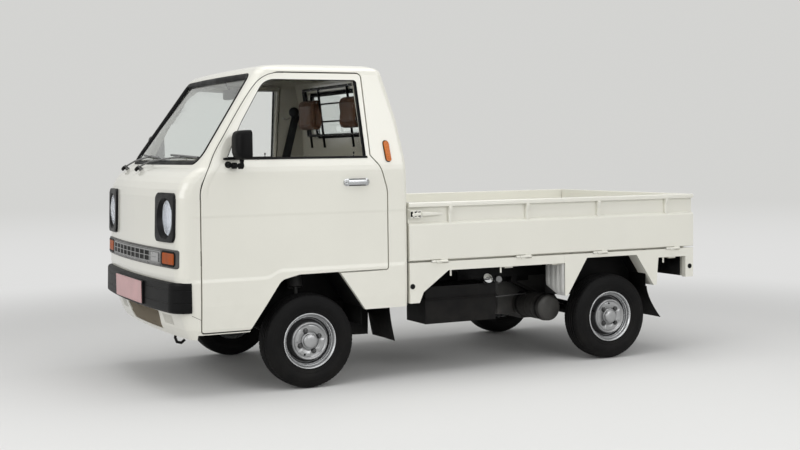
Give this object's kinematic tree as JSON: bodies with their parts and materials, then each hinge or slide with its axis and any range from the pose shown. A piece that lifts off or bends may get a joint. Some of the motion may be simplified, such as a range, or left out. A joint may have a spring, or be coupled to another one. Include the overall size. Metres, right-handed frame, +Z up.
{
  "type": "kei truck",
  "caption": "Cab-over micro truck with two doors, a drop-side load bed, steered front wheels and free-rolling rear wheels.",
  "frame": {"origin": "on the ground, midway between the ends and the sides", "axes": "+X to the truck's left, -Y to the front, +Z up"},
  "size_m": [1.65, 3.195, 1.652],
  "materials": {
    "ivory_paint": "gloss",
    "chassis_paint": "satin",
    "glass": "clear",
    "lamp_glass": "fluted",
    "amber_lens": "gloss",
    "red_lens": "gloss",
    "black_rubber": "matt",
    "black_plastic": "matt",
    "brown_vinyl": "satin",
    "tyre_rubber": "matt",
    "wheel_steel": "silver gloss",
    "bare_metal": "dull",
    "chrome": "polished",
    "cast_iron": "rough",
    "belt_webbing": "matt",
    "plate_enamel": "satin",
    "mirror_shell": "matt"
  },
  "bodies": {
    "truck": {"air_intake_grille": "black_plastic", "amber_lamps": "amber_lens", "cab_body": "ivory_paint", "chassis_frame": "chassis_paint", "dashboard": "black_plastic", "engine": "cast_iron", "front_bumper": "black_plastic", "front_lower_arms": "chassis_paint", "fuel_cap": "chrome", "fuel_tank": "chassis_paint", "gate_buffers": "black_rubber", "grille_panel": "black_plastic", "headlamp_bezels": "black_plastic", "headlamps": "lamp_glass", "headrests": "brown_vinyl", "load_bed": "ivory_paint", "mud_flaps": "black_rubber", "muffler": "bare_metal", "number_plate": "plate_enamel", "rear_axle": "chassis_paint", "rear_window": "glass", "seat_backs": "brown_vinyl", "seat_belts": "belt_webbing", "seat_cushions": "brown_vinyl", "steering_column": "black_plastic", "tail_lamps": "red_lens", "tow_hook": "chassis_paint", "window_gaskets": "black_rubber", "window_guard": "chassis_paint", "windscreen": "glass", "wipers": "black_plastic"},
    "door_left": {"door_left": "ivory_paint", "door_glass_left": "glass", "door_handle_left": "chrome", "mirror_left": "mirror_shell"},
    "door_right": {"door_right": "ivory_paint", "door_glass_right": "glass", "door_handle_right": "chrome", "mirror_right": "mirror_shell"},
    "gate_left": {"gate_left": "ivory_paint", "gate_latch_left": "ivory_paint"},
    "gate_right": {"gate_right": "ivory_paint", "gate_latch_right": "ivory_paint"},
    "tailgate": {"tailgate": "ivory_paint", "tailgate_latches": "ivory_paint"},
    "knuckle_left": {"knuckle_left": "chassis_paint"},
    "knuckle_right": {"knuckle_right": "chassis_paint"},
    "wheel_front_left": {"rim_front_left": "wheel_steel", "tyre_front_left": "tyre_rubber"},
    "wheel_front_right": {"rim_front_right": "wheel_steel", "tyre_front_right": "tyre_rubber"},
    "wheel_rear_left": {"rim_rear_left": "wheel_steel", "tyre_rear_left": "tyre_rubber"},
    "wheel_rear_right": {"rim_rear_right": "wheel_steel", "tyre_rear_right": "tyre_rubber"},
    "steering_wheel": {"steering_wheel": "black_plastic"}
  },
  "joints": [
    {"name": "door_left_hinge", "type": "hinge", "parent": "truck", "child": "door_left", "pos_m": [0.69, -1.401, 0.85], "axis": [0, 0, -1], "range_deg": [0, 65]},
    {"name": "door_right_hinge", "type": "hinge", "parent": "truck", "child": "door_right", "pos_m": [-0.69, -1.401, 0.85], "axis": [0, 0, 1], "range_deg": [0, 65]},
    {"name": "gate_left_hinge", "type": "hinge", "parent": "truck", "child": "gate_left", "pos_m": [0.692, 0.65, 0.613], "axis": [0, 1, 0], "range_deg": [0, 180]},
    {"name": "gate_right_hinge", "type": "hinge", "parent": "truck", "child": "gate_right", "pos_m": [-0.692, 0.65, 0.613], "axis": [0, -1, 0], "range_deg": [0, 180]},
    {"name": "tailgate_hinge", "type": "hinge", "parent": "truck", "child": "tailgate", "pos_m": [0, 1.592, 0.613], "axis": [-1, 0, 0], "range_deg": [0, 180]},
    {"name": "steer_left", "type": "hinge", "parent": "truck", "child": "knuckle_left", "pos_m": [0.566, -0.84, 0.179], "axis": [-0.2924, 0, 0.9563], "range_deg": [-33, 33]},
    {"name": "steer_right", "type": "hinge", "parent": "truck", "child": "knuckle_right", "pos_m": [-0.566, -0.84, 0.179], "axis": [0.2924, 0, 0.9563], "range_deg": [-33, 33]},
    {"name": "spin_front_left", "type": "hinge", "parent": "knuckle_left", "child": "wheel_front_left", "pos_m": [0.6075, -0.84, 0.241], "axis": [1, 0, 0], "continuous": true},
    {"name": "spin_front_right", "type": "hinge", "parent": "knuckle_right", "child": "wheel_front_right", "pos_m": [-0.6075, -0.84, 0.241], "axis": [1, 0, 0], "continuous": true},
    {"name": "spin_rear_left", "type": "hinge", "parent": "truck", "child": "wheel_rear_left", "pos_m": [0.6075, 1.01, 0.241], "axis": [1, 0, 0], "continuous": true},
    {"name": "spin_rear_right", "type": "hinge", "parent": "truck", "child": "wheel_rear_right", "pos_m": [-0.6075, 1.01, 0.241], "axis": [1, 0, 0], "continuous": true},
    {"name": "steering_wheel_turn", "type": "hinge", "parent": "truck", "child": "steering_wheel", "pos_m": [-0.3, -1.15, 1.085], "axis": [0, 0.4226, 0.9063], "range_deg": [-528, 528]}
  ],
  "couplings": [
    {"joint": "steer_right", "follows": "steer_left", "ratio": 1},
    {"joint": "steering_wheel_turn", "follows": "steer_left", "ratio": 16}
  ]
}
